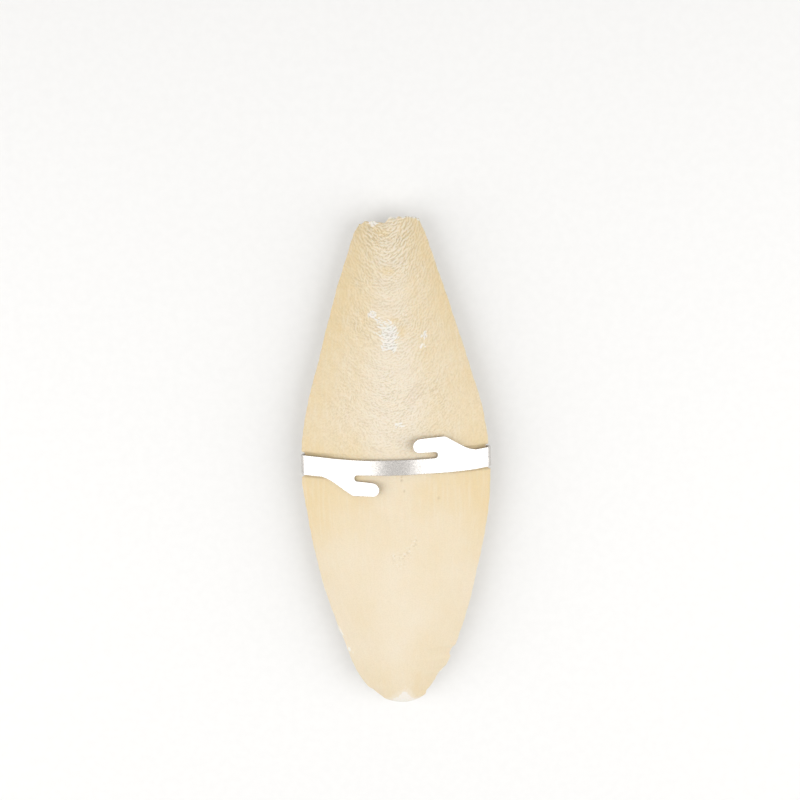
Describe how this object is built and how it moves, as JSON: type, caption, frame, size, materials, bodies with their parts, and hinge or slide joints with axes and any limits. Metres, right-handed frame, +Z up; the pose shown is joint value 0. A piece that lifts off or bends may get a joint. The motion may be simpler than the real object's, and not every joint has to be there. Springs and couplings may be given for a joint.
{
  "type": "cuttlebone with cage clip",
  "caption": "Dried cuttlefish bone, domed on its hard side and broken at its narrow end, with a bent sheet metal strap across the back whose hooks hang it on cage bars.",
  "frame": {"origin": "on the surface that the bone lies on, under the middle of its outline", "axes": "+Y along the bone towards its broken narrow end, +Z up through the hard domed back, +X to the right seen from above with the round end towards the viewer"},
  "size_m": [0.0768, 0.2002, 0.0275],
  "materials": {
    "bone": "matte",
    "clip_steel": "satin"
  },
  "bodies": {
    "root": {"cuttlebone": "bone", "clip": "clip_steel"}
  },
  "joints": []
}
